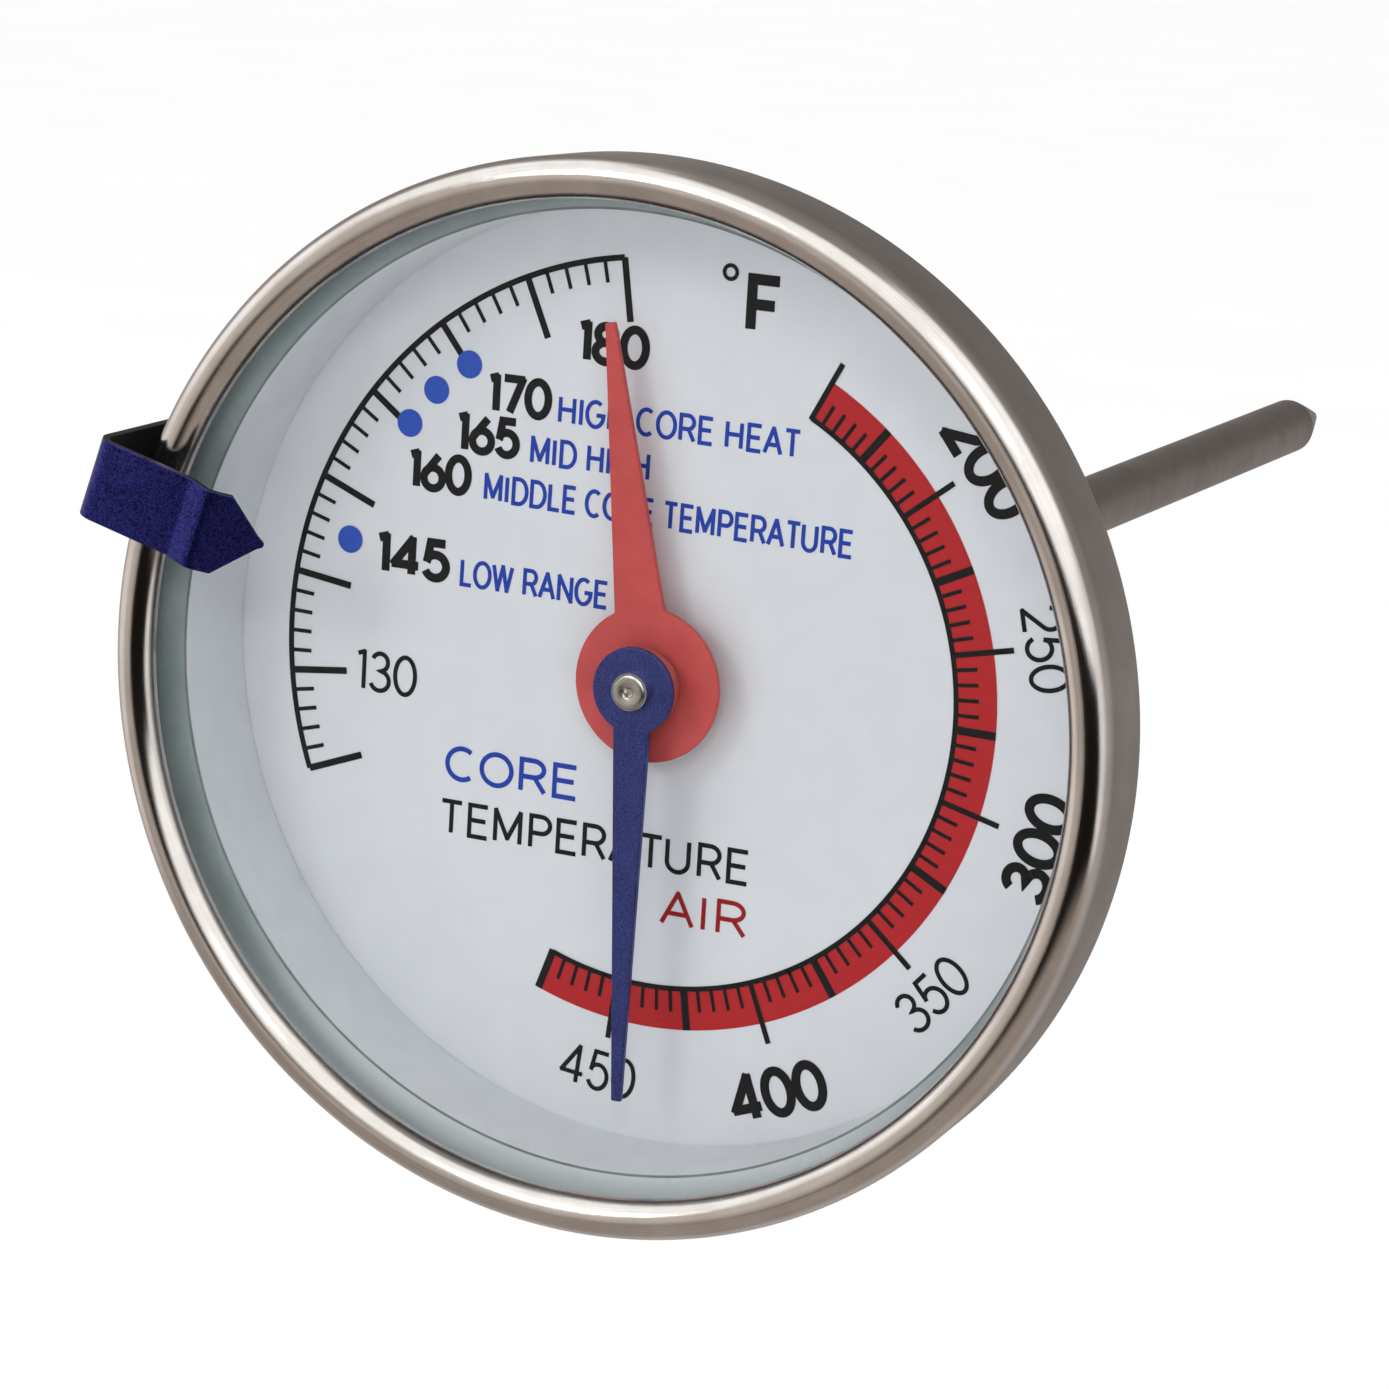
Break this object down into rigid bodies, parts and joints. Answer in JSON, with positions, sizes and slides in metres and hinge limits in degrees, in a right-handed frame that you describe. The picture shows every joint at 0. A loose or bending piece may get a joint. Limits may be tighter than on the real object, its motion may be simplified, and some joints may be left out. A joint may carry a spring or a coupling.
{
  "type": "meat thermometer",
  "caption": "Round dial thermometer with a pointed probe stem: a front meat pointer, a rear oven pointer and a clip-on target marker on the rim.",
  "frame": {"origin": "on the stem axis, where the stem leaves the ferrule", "axes": "+Y along the stem to its tip, the dial faces -Y and its wording reads upright along +Z"},
  "size_m": [0.0615, 0.1291, 0.06],
  "materials": {
    "polished_steel": "polished lip, satin skirt",
    "lens_glass": "clear, green-grey at the edge",
    "seal_rubber": "matt silicone",
    "white_wall": "satin white",
    "dial_white": "satin white, printed",
    "case_steel": "satin",
    "stem_steel": "satin drawn tube",
    "turned_steel": "turned",
    "bridge_brass": "plain",
    "bimetal": "rolled strip",
    "red_paint": "satin red",
    "blue_paint": "metallic blue",
    "marker_blue": "metallic blue, black inside"
  },
  "bodies": {
    "head": {"bezel": "polished_steel", "lens": "lens_glass", "lens_seal": "seal_rubber", "spacer_ring": "white_wall", "dial_plate": "dial_white", "case_cup": "case_steel", "bearing_bridge": "bridge_brass", "bridge_rivets": "turned_steel", "oven_coil": "bimetal", "coil_post": "bridge_brass", "oven_bush": "bridge_brass", "ferrule": "turned_steel", "stem_tube": "stem_steel", "stem_tip": "stem_steel", "coil_anchor": "turned_steel", "stem_coil": "bimetal", "upper_guide": "bridge_brass", "lower_guide": "bridge_brass"},
    "meat_hand": {"meat_spindle": "turned_steel", "meat_hub": "turned_steel", "meat_pointer": "blue_paint"},
    "oven_hand": {"oven_sleeve": "turned_steel", "oven_boss": "turned_steel", "oven_pointer": "red_paint"},
    "marker": {"target_marker": "marker_blue"}
  },
  "joints": [
    {"name": "meat_turn", "type": "hinge", "parent": "head", "child": "meat_hand", "pos_m": [0, -0.013, 0], "axis": [0, 1, 0], "range_deg": [-60, 180], "stiffness_Nm_per_rad": 0.0004},
    {"name": "oven_turn", "type": "hinge", "parent": "head", "child": "oven_hand", "pos_m": [0, -0.0115, 0], "axis": [0, 1, 0], "range_deg": [-15, 212], "stiffness_Nm_per_rad": 0.0004},
    {"name": "marker_slide_round", "type": "hinge", "parent": "head", "child": "marker", "pos_m": [0, -0.018, 0], "axis": [0, 1, 0], "continuous": true}
  ]
}
